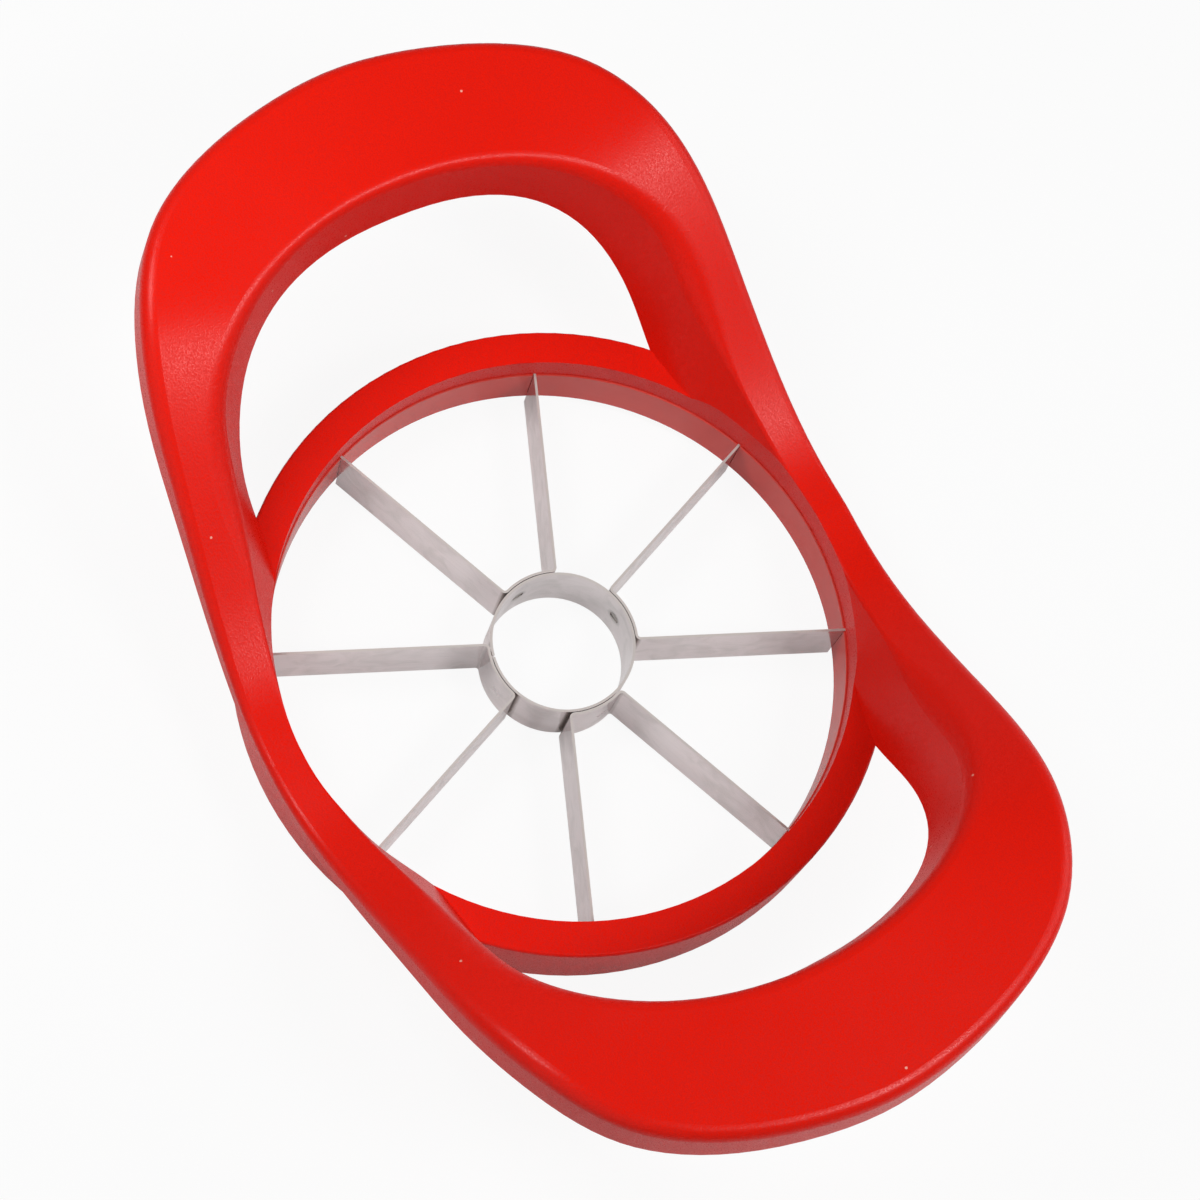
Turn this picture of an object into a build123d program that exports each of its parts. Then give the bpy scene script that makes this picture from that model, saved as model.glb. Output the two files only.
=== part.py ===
from build123d import *
import math
import os

os.makedirs("parts", exist_ok=True)

# Apple slicer and corer. Sizes are in millimetres, the long axis is X and the blade edges stand on z = 0.

# Ring that carries the blades
bore_diameter = 90.0
ring_wall = 5.6
ring_depth = 12.35
ring_lift = 2.3
ring_edge_round = 0.5

# Blade ring, pressed into the ring from below
skirt_wall = 2.0
ring_fit = 0.05
seam_gap = 0.1
seam_step = 0.25
seam_chamfer = 0.15

# Blades, folded in pairs from strip
blade_count = 8
blade_height = 10.4
blade_thickness = 0.4
bend_radius = 0.45
hug_gap = 0.1
slot_end_wall = 1.0
slot_floor = 1.2
slot_clearance = 0.05

# Core ring, rolled from strip with a butt seam
core_diameter = 22.8
core_wall = 0.4
core_seam_gap = 0.3
core_seam_azimuth = 257.0

# Spot welds between the strips and the core ring
weld_diameter = 2.0
weld_dent = 0.1
weld_azimuth = 7.0

# Handle frame in plan
overall_length = 173.6
waist_overhang = 0.3
waist_softness = 0.3
arm_taper = 2.8
arm_width = 8.6
arm_lean = 4.7
outer_draft = 0.8
corner_fullness = 2.4
grip_width = 21.0
grip_lean = 1.1
opening_squareness = 2.3
landing_flare = 0.165
crease_overlap = 0.3
bore_overlap = 0.4

# Handle frame from the side
handle_height = 48.1
waist_rise = 0.6
rise_start = 3.5
grip_flat = 15.6
grip_thickness = 8.0
arm_thickness = 4.2
lip_run_in = 6.5
lip_flat = 17.6
lip_thickness = 8.9
web_depth = 2.0
grip_edge_round = 2.0
waist_edge_round = 1.1
grip_lip_round = 1.8
shoulder_lip_round = 4.2
waist_lip_round = 0.6
lip_round_start = 22.0

# Sections that the handle frame is drawn through
arm_steps = 6
grip_steps = 12

bore_radius = bore_diameter / 2
ring_radius = bore_radius + ring_wall
ring_top = ring_lift + ring_depth
insert_radius = ring_radius - skirt_wall
slot_depth = ring_wall - skirt_wall - slot_end_wall
slot_bottom = ring_lift + slot_floor
core_radius = core_diameter / 2
blade_step = 360 / blade_count
strip_count = blade_count // 2
strip_step = 360 / strip_count

half_length = overall_length / 2 - outer_draft
waist_half = ring_radius + waist_overhang
shoulder_half = waist_half - arm_taper
loop_half = shoulder_half - arm_width
opening_half = loop_half - arm_lean
shoulder_x = math.sqrt(ring_radius**2 - opening_half**2)
waist_top = ring_top + waist_rise


def ease(start, end, x):
    t = min(max((x - start) / (end - start), 0.0), 1.0)
    return t * t * (3 - 2 * t)


def blend(first, last, part):
    return first + (last - first) * part


def arm_rise(x):
    return ease(rise_start, half_length - grip_flat, x)


def top_height(x):
    return blend(waist_top, handle_height, arm_rise(x))


def outer_under_height(x):
    return blend(waist_top - arm_thickness, handle_height - grip_thickness, arm_rise(x))


def inner_under_height(x):
    rise = ease(shoulder_x - lip_run_in, half_length - lip_flat, x)
    return blend(ring_top - web_depth, handle_height - lip_thickness, rise)


def outer_edge_round(x):
    return blend(waist_edge_round, grip_edge_round, ease(0, half_length - shoulder_x, x))


def flank(at_waist, at_shoulder, x):
    t = math.hypot(x / shoulder_x, waist_softness) - waist_softness
    return blend(at_waist, at_shoulder, t / (math.hypot(1, waist_softness) - waist_softness))


def loop_reach(end_x, half_y, power, angle):
    across = abs(math.cos(angle)) / (end_x - shoulder_x)
    along = abs(math.sin(angle)) / half_y
    return (across**power + along**power) ** (-1 / power)


def corner_arc(before, corner, after, radius):
    first = (before - corner).normalized()
    second = (after - corner).normalized()
    half_angle = math.radians(first.get_angle(second)) / 2
    setback = radius / math.tan(half_angle)
    middle = corner + (first + second).normalized() * radius * (1 / math.sin(half_angle) - 1)
    return ThreePointArc(corner + first * setback, middle, corner + second * setback)


def frame_section(origin_x, angle, outer, crease, foot, foot_height, lip_round):
    def place(reach, height):
        return Vector(origin_x + reach * math.cos(angle), reach * math.sin(angle), height)

    outer_x = origin_x + outer * math.cos(angle)
    under = place(outer + outer_draft * arm_rise(outer_x), outer_under_height(outer_x))
    rim = place(outer, top_height(outer_x))
    lip = place(crease, top_height(origin_x + crease * math.cos(angle)))
    base = place(foot, foot_height)
    rim_arc = corner_arc(under, rim, lip, outer_edge_round(outer_x))
    lip_arc = corner_arc(rim, lip, base, lip_round)
    edges = [
        Line(under, rim_arc @ 0),
        rim_arc,
        Line(rim_arc @ 1, lip_arc @ 0),
        lip_arc,
        Line(lip_arc @ 1, base),
        Line(base, under),
    ]
    return Face(Wire(edges))


def arm_section(x, side):
    outer = flank(waist_half, shoulder_half, x)
    crease = flank(bore_radius + seam_step - crease_overlap, loop_half, x)
    bore_edge = math.sqrt(max((bore_radius + seam_step - bore_overlap) ** 2 - x**2, 0))
    landing = max(opening_half + (shoulder_x - x) * landing_flare, bore_edge)
    lean = (crease - landing) / (top_height(x) - ring_top)
    foot_height = inner_under_height(x)
    foot = landing + lean * (foot_height - ring_top)
    lip_round = blend(waist_lip_round, shoulder_lip_round, ease(lip_round_start, shoulder_x, x))
    return frame_section(x, side * math.pi / 2, outer, crease, foot, foot_height, lip_round)


def grip_section(angle):
    outer = loop_reach(half_length, shoulder_half, 2, angle)
    outer += corner_fullness * math.sin(2 * angle) ** 4
    crease = loop_reach(half_length - grip_width, loop_half, 2, angle)
    opening_end = half_length - grip_width - grip_lean
    foot = loop_reach(opening_end, opening_half, opening_squareness, angle)
    foot_height = inner_under_height(shoulder_x + foot * math.cos(angle))
    lip_round = blend(grip_lip_round, shoulder_lip_round, math.sin(angle) ** 6)
    return frame_section(shoulder_x, angle, outer, crease, foot, foot_height, lip_round)


def disc(radius, bottom, top):
    return Pos(0, 0, bottom) * extrude(Circle(radius), top - bottom)


# Handle frame: one moulding, the ring with a loop handle at each end
arm_places = [shoulder_x * k / arm_steps for k in range(arm_steps)]
turns = [math.pi * (0.5 - k / grip_steps) for k in range(grip_steps + 1)]
sections = [arm_section(x, 1) for x in arm_places]
sections += [grip_section(angle) for angle in turns]
sections += [arm_section(x, -1) for x in reversed(arm_places)]
half_loop = loft(sections)
ring_body = disc(ring_radius, ring_lift, ring_top)
ring_body = fillet(ring_body.edges().sort_by(Axis.Z)[-1], ring_edge_round)
handle_frame = ring_body + half_loop + mirror(half_loop, Plane.YZ)
handle_frame -= disc(bore_radius + seam_step, 0, 2 * handle_height)
handle_frame -= disc(insert_radius, 0, blade_height)
export_step(handle_frame, "parts/handle_frame.step")

# Blade ring: the separate inner part of the ring, slotted for the blade ends
blade_ring = disc(insert_radius - ring_fit, ring_lift, blade_height - seam_gap)
blade_ring -= disc(bore_radius, 0, 2 * blade_height)
seam_edge = blade_ring.edges().group_by(Axis.Z)[-1].sort_by(SortBy.LENGTH)[0]
blade_ring = chamfer(seam_edge, seam_chamfer)
slot = Pos(bore_radius, 0, slot_bottom + blade_height / 2)
slot *= Box(2 * slot_depth, blade_thickness + 2 * slot_clearance, blade_height)
for k in range(blade_count):
    blade_ring -= Rot(0, 0, blade_step * (k + 0.5)) * slot
export_step(blade_ring, "parts/blade_ring.step")

# Core ring: a strip rolled to a tube, with a butt seam
weld_rod = Pos(core_radius, 0, blade_height / 2) * Rot(0, 90, 0) * Cylinder(weld_diameter / 2, core_radius)
weld_rod = Rot(0, 0, weld_azimuth) * weld_rod
core_ring = disc(core_radius, 0, blade_height) - disc(core_radius - core_wall, 0, blade_height)
seam_cut = Pos(core_radius, 0, 0) * Box(core_radius, core_seam_gap, 3 * blade_height)
core_ring -= Rot(0, 0, core_seam_azimuth) * seam_cut
for k in range(strip_count):
    core_ring -= Rot(0, 0, strip_step * k) * weld_rod
export_step(core_ring, "parts/core_ring.step")

# Blade strips: each is one strip folded to two blades, with an arc between them that hugs the core ring
hug_radius = core_radius + hug_gap + blade_thickness / 2
fold_radius = bend_radius + blade_thickness / 2
fold_reach = hug_radius + fold_radius
fold_azimuth = blade_step / 2 - math.degrees(math.asin(fold_radius / fold_reach))
blade_start = math.sqrt(fold_reach**2 - fold_radius**2)
blade_end = bore_radius + slot_depth - slot_clearance


def polar(reach, azimuth):
    return Vector(reach, 0).rotate(Axis.Z, azimuth)


left_blade = Line(polar(blade_end, blade_step / 2), polar(blade_start, blade_step / 2))
left_fold = TangentArc(left_blade @ 1, polar(hug_radius, fold_azimuth), tangent=left_blade % 1)
hug = TangentArc(left_fold @ 1, polar(hug_radius, -fold_azimuth), tangent=left_fold % 1)
right_fold = TangentArc(hug @ 1, polar(blade_start, -blade_step / 2), tangent=hug % 1)
right_blade = Line(right_fold @ 1, polar(blade_end, -blade_step / 2))
fold_line = Wire([left_blade, left_fold, hug, right_fold, right_blade])
strip_end = Plane(fold_line @ 0, x_dir=(0, 0, 1), z_dir=fold_line % 0)
strip = Pos(0, 0, blade_height / 2) * sweep(strip_end * Rectangle(blade_height, blade_thickness), fold_line)
strip -= disc(2 * bore_radius, 0, slot_bottom) - disc(bore_radius - slot_clearance, 0, slot_bottom)
strip -= weld_rod

# Spot welds: the fused nuggets, dented on the inside of the core ring
weld = disc(hug_radius + blade_thickness / 2, 0, blade_height) & weld_rod
weld -= disc(core_radius - core_wall + weld_dent, 0, blade_height)

for k in range(strip_count):
    turn = Rot(0, 0, strip_step * k)
    export_step(turn * strip, f"parts/blade_strip_{k + 1}.step")
    export_step(turn * weld, f"parts/spot_weld_{k + 1}.step")
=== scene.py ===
import math

import bpy
from mathutils import Matrix, Vector

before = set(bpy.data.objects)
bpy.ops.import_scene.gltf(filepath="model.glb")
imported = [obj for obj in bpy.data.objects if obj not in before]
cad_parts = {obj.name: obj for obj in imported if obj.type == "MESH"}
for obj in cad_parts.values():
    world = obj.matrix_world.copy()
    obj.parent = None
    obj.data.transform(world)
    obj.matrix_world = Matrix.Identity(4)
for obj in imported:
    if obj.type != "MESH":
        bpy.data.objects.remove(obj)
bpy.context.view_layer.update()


# The handle frame is one injection moulding in red polypropylene: a ring with a loop handle at each end.
# Its mould was spark eroded to a fine grain, so the plastic leaves it satin and not glossy.
mm = 0.001


def linear(hex_code):
    channels = [int(hex_code[i:i + 2], 16) / 255 for i in (1, 3, 5)]
    return [c / 12.92 if c <= 0.04045 else ((c + 0.055) / 1.055) ** 2.4 for c in channels] + [1]


def add_node(material, kind, sockets, **settings):
    node = material.node_tree.nodes.new(kind)
    for name, value in settings.items():
        setattr(node, name, value)
    for name, value in sockets.items():
        if isinstance(value, bpy.types.NodeSocket):
            material.node_tree.links.new(value, node.inputs[name])
        else:
            node.inputs[name].default_value = value
    return node


def start_material(name):
    material = bpy.data.materials.new(name)
    material.use_nodes = True
    material.node_tree.nodes.clear()
    return material, add_node(material, "ShaderNodeTexCoord", {}).outputs["Object"]


def dress(material, *node_names):
    for name in node_names:
        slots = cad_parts[name].data.materials
        slots.clear()
        slots.append(material)


# Polypropylene, moulded satin: an even strong red, a little cloudy from the pigment. The peaks of the grain
# shine and its pits stay matt, so the sheen is soft and full of fine sparkle, and handling has dulled it here
# and there. The grain is about 0.1 mm, too fine to show, so it is drawn at 0.28 mm.
spark_grain = 0.28 * mm
grain_depth = 0.022 * mm
pigment_cloud = 24 * mm
handled_patch = 5 * mm
scuff_spacing = 6.5 * mm
scuff_radius = 0.2 * mm
fresh_roughness = 0.22
handled_roughness = 0.27
pit_roughness = 0.42
polypropylene_ior = 1.49
satin_specular = 0.19

# Nearly all values of a noise pattern lie between these two.
noise_low = 0.35
noise_high = 0.65

satin_red, spot = start_material("polypropylene_red_satin_moulded")
grain = add_node(satin_red, "ShaderNodeTexNoise", {"Vector": spot, "Scale": 1 / spark_grain, "Detail": 1})
peaks = add_node(satin_red, "ShaderNodeMapRange", {
    "Value": grain.outputs["Fac"], "From Min": noise_low, "From Max": noise_high, "To Min": 0, "To Max": 1})
cloud = add_node(satin_red, "ShaderNodeTexNoise", {"Vector": spot, "Scale": 1 / pigment_cloud, "Detail": 2})
clouded_red = add_node(satin_red, "ShaderNodeMix", {
    0: cloud.outputs["Fac"], 6: linear("#E6190B"), 7: linear("#F01E0E")}, data_type="RGBA")
# The pits of the grain are painted a little darker than its peaks, as painted shade in them.
pit_shaded_red = add_node(satin_red, "ShaderNodeMix", {
    0: peaks.outputs["Result"], 6: linear("#DF170A"), 7: clouded_red.outputs[2]}, data_type="RGBA")
scuff = add_node(satin_red, "ShaderNodeTexVoronoi", {"Vector": spot, "Scale": 1 / scuff_spacing})
scuff_mark = add_node(satin_red, "ShaderNodeMath", {
    0: scuff.outputs["Distance"], 1: scuff_radius / scuff_spacing}, operation="LESS_THAN")
scuffed_red = add_node(satin_red, "ShaderNodeMix", {
    0: scuff_mark.outputs[0], 6: pit_shaded_red.outputs[2], 7: linear("#F2A594")}, data_type="RGBA")
handling = add_node(satin_red, "ShaderNodeTexNoise", {
    "Vector": spot, "Scale": 1 / handled_patch, "Detail": 3})
peak_finish = add_node(satin_red, "ShaderNodeMapRange", {
    "Value": handling.outputs["Fac"], "From Min": noise_low, "From Max": noise_high,
    "To Min": fresh_roughness, "To Max": handled_roughness})
grained_finish = add_node(satin_red, "ShaderNodeMix", {
    0: peaks.outputs["Result"], 2: pit_roughness, 3: peak_finish.outputs["Result"]})
grain_relief = add_node(satin_red, "ShaderNodeBump", {
    "Height": grain.outputs["Fac"], "Strength": 1, "Distance": grain_depth})
satin = add_node(satin_red, "ShaderNodeBsdfPrincipled", {
    "Base Color": scuffed_red.outputs[2], "Roughness": grained_finish.outputs[0],
    "IOR": polypropylene_ior, "Specular IOR Level": satin_specular, "Normal": grain_relief.outputs["Normal"]})
add_node(satin_red, "ShaderNodeOutputMaterial", {"Surface": satin.outputs["BSDF"]})
dress(satin_red, "handle_frame")


# The blade ring is a second red moulding, pressed up into the ring from below, and it clamps the blade ends.
# Only its inner wall shows, under the fine seam at the height of the blades' top edges.
flow_mark = 9 * mm
polished_roughness = 0.16
flow_mark_roughness = 0.26

# Polypropylene from a polished mould: smoother than the frame, and paler where it mirrors what is below it.
glossy_red, spot = start_material("polypropylene_red_polished_moulded")
flow = add_node(glossy_red, "ShaderNodeTexNoise", {"Vector": spot, "Scale": 1 / flow_mark, "Detail": 2})
flowed_red = add_node(glossy_red, "ShaderNodeMix", {
    0: flow.outputs["Fac"], 6: linear("#D6342A"), 7: linear("#E04236")}, data_type="RGBA")
polish = add_node(glossy_red, "ShaderNodeMapRange", {
    "Value": flow.outputs["Fac"], "From Min": noise_low, "From Max": noise_high,
    "To Min": polished_roughness, "To Max": flow_mark_roughness})
polished = add_node(glossy_red, "ShaderNodeBsdfPrincipled", {
    "Base Color": flowed_red.outputs[2], "Roughness": polish.outputs["Result"], "IOR": polypropylene_ior})
add_node(glossy_red, "ShaderNodeOutputMaterial", {"Surface": polished.outputs["BSDF"]})
dress(glossy_red, "blade_ring")


# The core ring is a stainless strip rolled into a tube, with a butt seam. Each blade strip is one strip of
# the same stock, folded to two blades with an arc between that hugs the core ring, where it is spot welded.
# The blades' outer ends sit in slots, clamped between the two mouldings.
streak_width = 0.25 * mm
streak_length = 14 * mm
wipe_mark = 5 * mm
strip_step = math.radians(90)
bare_azimuth = math.radians(45)
corner_swing = math.radians(21.5)
corner_reach = 11.7 * mm
crevice_shade_radius = 0.8 * mm
weld_azimuth = math.radians(7)
weld_height = 5.2 * mm
weld_mark_radius = 1.7 * mm
core_middle_reach = 11.2 * mm
wiped_low = 0.45
wiped_high = 0.75
most_dulling = 0.5
rolled_roughness = 0.14
wiped_roughness = 0.22
edge_roughness = 0.8
edge_levelness = 0.7

# Stainless steel, cold rolled: pale grey and half bright, with faint streaks along the strip from the rolls.
# Its sheared edges are matt and paler, and the welds show on the inside as smoky marks. The corners of
# the folds carry a brown painted shade. The streaks are about 0.05 mm wide, too fine to show, and drawn at
# 0.25 mm.
rolled_steel, spot = start_material("stainless_steel_cold_rolled")
along_strip = add_node(rolled_steel, "ShaderNodeMapping", {
    "Vector": spot, "Scale": (1 / streak_length, 1 / streak_length, 1 / streak_width)})
streaks = add_node(rolled_steel, "ShaderNodeTexNoise", {
    "Vector": along_strip.outputs["Vector"], "Scale": 1, "Detail": 1})
wipes = add_node(rolled_steel, "ShaderNodeTexNoise", {
    "Vector": spot, "Scale": 1 / wipe_mark, "Detail": 4, "Distortion": 1})
streaked_grey = add_node(rolled_steel, "ShaderNodeMix", {
    0: streaks.outputs["Fac"], 6: linear("#DCD3D3"), 7: linear("#EAE3E3")}, data_type="RGBA")
dulling = add_node(rolled_steel, "ShaderNodeMapRange", {
    "Value": wipes.outputs["Fac"], "From Min": wiped_low, "From Max": wiped_high,
    "To Min": 0, "To Max": most_dulling})
wiped_grey = add_node(rolled_steel, "ShaderNodeMix", {
    0: dulling.outputs["Result"], 6: streaked_grey.outputs[2], 7: linear("#BEBAB6")}, data_type="RGBA")


def axis_distance(material, spot):
    flat_spot = add_node(material, "ShaderNodeMapping", {"Vector": spot, "Scale": (1, 1, 0)})
    reach = add_node(material, "ShaderNodeVectorMath", {0: flat_spot.outputs["Vector"]}, operation="LENGTH")
    return reach.outputs["Value"]


reach = axis_distance(rolled_steel, spot)
across = add_node(rolled_steel, "ShaderNodeSeparateXYZ", {"Vector": spot})
turn = add_node(rolled_steel, "ShaderNodeMath", {
    0: across.outputs["Y"], 1: across.outputs["X"]}, operation="ARCTAN2")


# A round mark on each strip, or one to each side of its azimuth, that fades from its centre outwards.
def soft_mark(azimuth, aside, distance, centre, radius):
    nearest = add_node(rolled_steel, "ShaderNodeMath", {
        0: turn.outputs[0], 1: azimuth + strip_step / 2, 2: azimuth - strip_step / 2}, operation="WRAP")
    swing = add_node(rolled_steel, "ShaderNodeMath", {
        0: nearest.outputs[0], 1: azimuth}, operation="SUBTRACT")
    swing_size = add_node(rolled_steel, "ShaderNodeMath", {0: swing.outputs[0]}, operation="ABSOLUTE")
    off_centre = add_node(rolled_steel, "ShaderNodeMath", {
        0: swing_size.outputs[0], 1: aside}, operation="SUBTRACT")
    sideways = add_node(rolled_steel, "ShaderNodeMath", {
        0: off_centre.outputs[0], 1: reach}, operation="MULTIPLY")
    lengthways = add_node(rolled_steel, "ShaderNodeMath", {0: distance, 1: centre}, operation="SUBTRACT")
    place = add_node(rolled_steel, "ShaderNodeCombineXYZ", {
        "X": sideways.outputs[0], "Y": lengthways.outputs[0]})
    scaled_place = add_node(rolled_steel, "ShaderNodeMapping", {
        "Vector": place.outputs[0], "Scale": [1 / radius] * 3})
    fade = add_node(rolled_steel, "ShaderNodeTexGradient", {
        "Vector": scaled_place.outputs["Vector"]}, gradient_type="SPHERICAL")
    return fade.outputs["Fac"]


outside = add_node(rolled_steel, "ShaderNodeMath", {
    0: reach, 1: core_middle_reach}, operation="GREATER_THAN")
# Painted shade: the fold corners, where each strip meets the core ring, are darkened brown.
crevice_shade_fade = soft_mark(bare_azimuth, corner_swing, reach, corner_reach, crevice_shade_radius)
crevice_shade = add_node(rolled_steel, "ShaderNodeMath", {
    0: crevice_shade_fade, 1: outside.outputs[0]}, operation="MULTIPLY")
crevice_shaded_grey = add_node(rolled_steel, "ShaderNodeMix", {
    0: crevice_shade.outputs[0], 6: wiped_grey.outputs[2], 7: linear("#5A4636")}, data_type="RGBA")
inside = add_node(rolled_steel, "ShaderNodeMath", {
    0: reach, 1: core_middle_reach}, operation="LESS_THAN")
smoke_fade = soft_mark(weld_azimuth, 0, across.outputs["Z"], weld_height, weld_mark_radius)
smoke = add_node(rolled_steel, "ShaderNodeMath", {
    0: smoke_fade, 1: inside.outputs[0]}, operation="MULTIPLY")
smoky_grey = add_node(rolled_steel, "ShaderNodeMix", {
    0: smoke.outputs[0], 6: crevice_shaded_grey.outputs[2], 7: linear("#6B6661")}, data_type="RGBA")

surface = add_node(rolled_steel, "ShaderNodeTexCoord", {})
facing = add_node(rolled_steel, "ShaderNodeSeparateXYZ", {"Vector": surface.outputs["Normal"]})
levelness = add_node(rolled_steel, "ShaderNodeMath", {0: facing.outputs["Z"]}, operation="ABSOLUTE")
sheared = add_node(rolled_steel, "ShaderNodeMath", {
    0: levelness.outputs[0], 1: edge_levelness}, operation="GREATER_THAN")
edged_grey = add_node(rolled_steel, "ShaderNodeMix", {
    0: sheared.outputs[0], 6: smoky_grey.outputs[2], 7: linear("#DAD6D3")}, data_type="RGBA")
face_finish = add_node(rolled_steel, "ShaderNodeMapRange", {
    "Value": wipes.outputs["Fac"], "From Min": noise_low, "From Max": noise_high,
    "To Min": rolled_roughness, "To Max": wiped_roughness})
edged_finish = add_node(rolled_steel, "ShaderNodeMix", {
    0: sheared.outputs[0], 2: face_finish.outputs["Result"], 3: edge_roughness})
rolled = add_node(rolled_steel, "ShaderNodeBsdfPrincipled", {
    "Base Color": edged_grey.outputs[2], "Metallic": 1, "Roughness": edged_finish.outputs[0]})
add_node(rolled_steel, "ShaderNodeOutputMaterial", {"Surface": rolled.outputs["BSDF"]})
dress(rolled_steel, "core_ring", "blade_strip_1", "blade_strip_2", "blade_strip_3", "blade_strip_4")


# Four spot welds hold the strips to the core ring. Each is the metal fused between two electrodes,
# and it shows on the inside of the core ring as a shallow round dent.
oxide_blotch = 0.6 * mm
core_outer_reach = 11.4 * mm
oxide_low = 0.3
oxide_high = 0.7
fused_roughness = 0.2
oxide_roughness = 0.35

# Stainless steel, resistance welded: inside, where the electrode bit, it is grey and blotched with thin
# oxide, and outside it is as pale as the strip.
weld_metal, spot = start_material("stainless_steel_spot_welded")
oxide = add_node(weld_metal, "ShaderNodeTexNoise", {"Vector": spot, "Scale": 1 / oxide_blotch, "Detail": 3})
blotched = add_node(weld_metal, "ShaderNodeMix", {
    0: oxide.outputs["Fac"], 6: linear("#75706B"), 7: linear("#B9B2AD")}, data_type="RGBA")
weld_reach = axis_distance(weld_metal, spot)
weld_outside = add_node(weld_metal, "ShaderNodeMath", {
    0: weld_reach, 1: core_outer_reach}, operation="GREATER_THAN")
weld_grey = add_node(weld_metal, "ShaderNodeMix", {
    0: weld_outside.outputs[0], 6: blotched.outputs[2], 7: linear("#DCD4D4")}, data_type="RGBA")
weld_finish = add_node(weld_metal, "ShaderNodeMapRange", {
    "Value": oxide.outputs["Fac"], "From Min": oxide_low, "From Max": oxide_high,
    "To Min": fused_roughness, "To Max": oxide_roughness})
welded = add_node(weld_metal, "ShaderNodeBsdfPrincipled", {
    "Base Color": weld_grey.outputs[2], "Metallic": 1, "Roughness": weld_finish.outputs["Result"]})
add_node(weld_metal, "ShaderNodeOutputMaterial", {"Surface": welded.outputs["BSDF"]})
dress(weld_metal, "spot_weld_1", "spot_weld_2", "spot_weld_3", "spot_weld_4")


# The studio sweep is a round sheet of white paper that curves up at its edge, so that no horizon shows.
# It lies loose under the object, which stands on it.
sweep_radius = 2
sweep_sides = 96
sweep_wall = 1.2
sweep_curve = 0.5
sweep_curve_steps = 8
seen_evenness = 0.92
mirrored_evenness = 0.3

bpy.ops.object.select_all(action="DESELECT")
bpy.ops.mesh.primitive_circle_add(vertices=sweep_sides, radius=sweep_radius, fill_type="NGON")
sweep = bpy.context.object
sweep.name = "studio_sweep"
bpy.ops.object.mode_set(mode="EDIT")
bpy.ops.mesh.select_mode(type="EDGE")
bpy.ops.mesh.select_all(action="SELECT")
bpy.ops.mesh.extrude_edges_move(TRANSFORM_OT_translate={"value": (0, 0, sweep_wall)})
bpy.ops.object.mode_set(mode="OBJECT")
curve = sweep.modifiers.new("paper_curve", "BEVEL")
curve.width = sweep_curve
curve.segments = sweep_curve_steps
bpy.ops.object.modifier_apply(modifier=curve.name)
bpy.ops.object.shade_smooth()

# Paper, matt white: almost evenly white to the eye, with a faint shadow under the object. Reflections see
# part of that white too, over the paper as the lamps light it.
paper = start_material("paper_white_matt")[0]
matt = add_node(paper, "ShaderNodeBsdfDiffuse", {"Color": linear("#DEDEDE")})
white = add_node(paper, "ShaderNodeEmission", {"Color": (1, 1, 1, 1), "Strength": 1})
ray = add_node(paper, "ShaderNodeLightPath", {})
mirror_ray = add_node(paper, "ShaderNodeMath", {
    0: ray.outputs["Is Glossy Ray"], 1: ray.outputs["Is Transmission Ray"]}, operation="MAXIMUM")
mirrored = add_node(paper, "ShaderNodeMath", {
    0: mirror_ray.outputs[0], 1: mirrored_evenness}, operation="MULTIPLY")
seen = add_node(paper, "ShaderNodeMath", {
    0: ray.outputs["Is Camera Ray"], 1: seen_evenness}, operation="MULTIPLY")
evenness = add_node(paper, "ShaderNodeMath", {
    0: seen.outputs[0], 1: mirrored.outputs[0]}, operation="MAXIMUM")
face = add_node(paper, "ShaderNodeMixShader", {
    0: evenness.outputs[0], 1: matt.outputs[0], 2: white.outputs[0]})
add_node(paper, "ShaderNodeOutputMaterial", {"Surface": face.outputs[0]})
sweep.data.materials.append(paper)


# The light is four round softboxes in a dim room: a low one on each side, a small one close over the far
# handle, which makes that end the brightest, and a small high one that draws the highlights on the arms.
room_strength = 0.04

scene = bpy.context.scene
room = bpy.data.worlds.new("studio_room")
room.use_nodes = True
room.node_tree.nodes["Background"].inputs["Color"].default_value = (1, 1, 1, 1)
room.node_tree.nodes["Background"].inputs["Strength"].default_value = room_strength
scene.world = room


# Azimuth and elevation are in degrees, distance and size in metres and energy in watts.
def hang_softbox(name, azimuth, elevation, distance, size, energy):
    lamp = bpy.data.lights.new(name, "AREA")
    lamp.shape = "DISK"
    lamp.size = size
    lamp.energy = energy
    softbox = bpy.data.objects.new(name, lamp)
    scene.collection.objects.link(softbox)
    bearing = math.radians(azimuth)
    tilt = math.radians(elevation)
    aim = Vector((math.cos(tilt) * math.cos(bearing), math.cos(tilt) * math.sin(bearing), math.sin(tilt)))
    softbox.location = aim * distance
    softbox.rotation_euler = aim.to_track_quat("Z", "Y").to_euler()


hang_softbox("right_softbox", 72, 32, 0.65, 0.5, 1.25)
hang_softbox("left_softbox", 290, 35, 0.65, 0.9, 0.95)
hang_softbox("far_softbox", 222, 56, 0.3, 0.12, 0.38)
hang_softbox("high_softbox", 32, 55, 0.65, 0.18, 1.55)


# The camera stands where the photograph was taken from, above the near handle and to one side. Its place and
# lens were found by fitting the object's outline to the photograph.
camera_azimuth, camera_elevation, camera_roll = 36.09, 67.5, 27.14
camera_place = Vector((99.505, -132.899, 432.9)) * mm
camera_lens = 88.24
film_width = 36
nearest_sight = 0.01

camera_body = bpy.data.cameras.new("camera")
camera_body.sensor_width = film_width
camera_body.lens = camera_lens
camera_body.clip_start = nearest_sight
camera = bpy.data.objects.new("camera", camera_body)
scene.collection.objects.link(camera)
camera.matrix_world = (
    Matrix.Translation(camera_place)
    @ Matrix.Rotation(math.radians(camera_azimuth), 4, "Z")
    @ Matrix.Rotation(math.radians(90 - camera_elevation), 4, "X")
    @ Matrix.Rotation(math.radians(camera_roll), 4, "Z"))
scene.camera = camera
scene.view_settings.view_transform = "Standard"
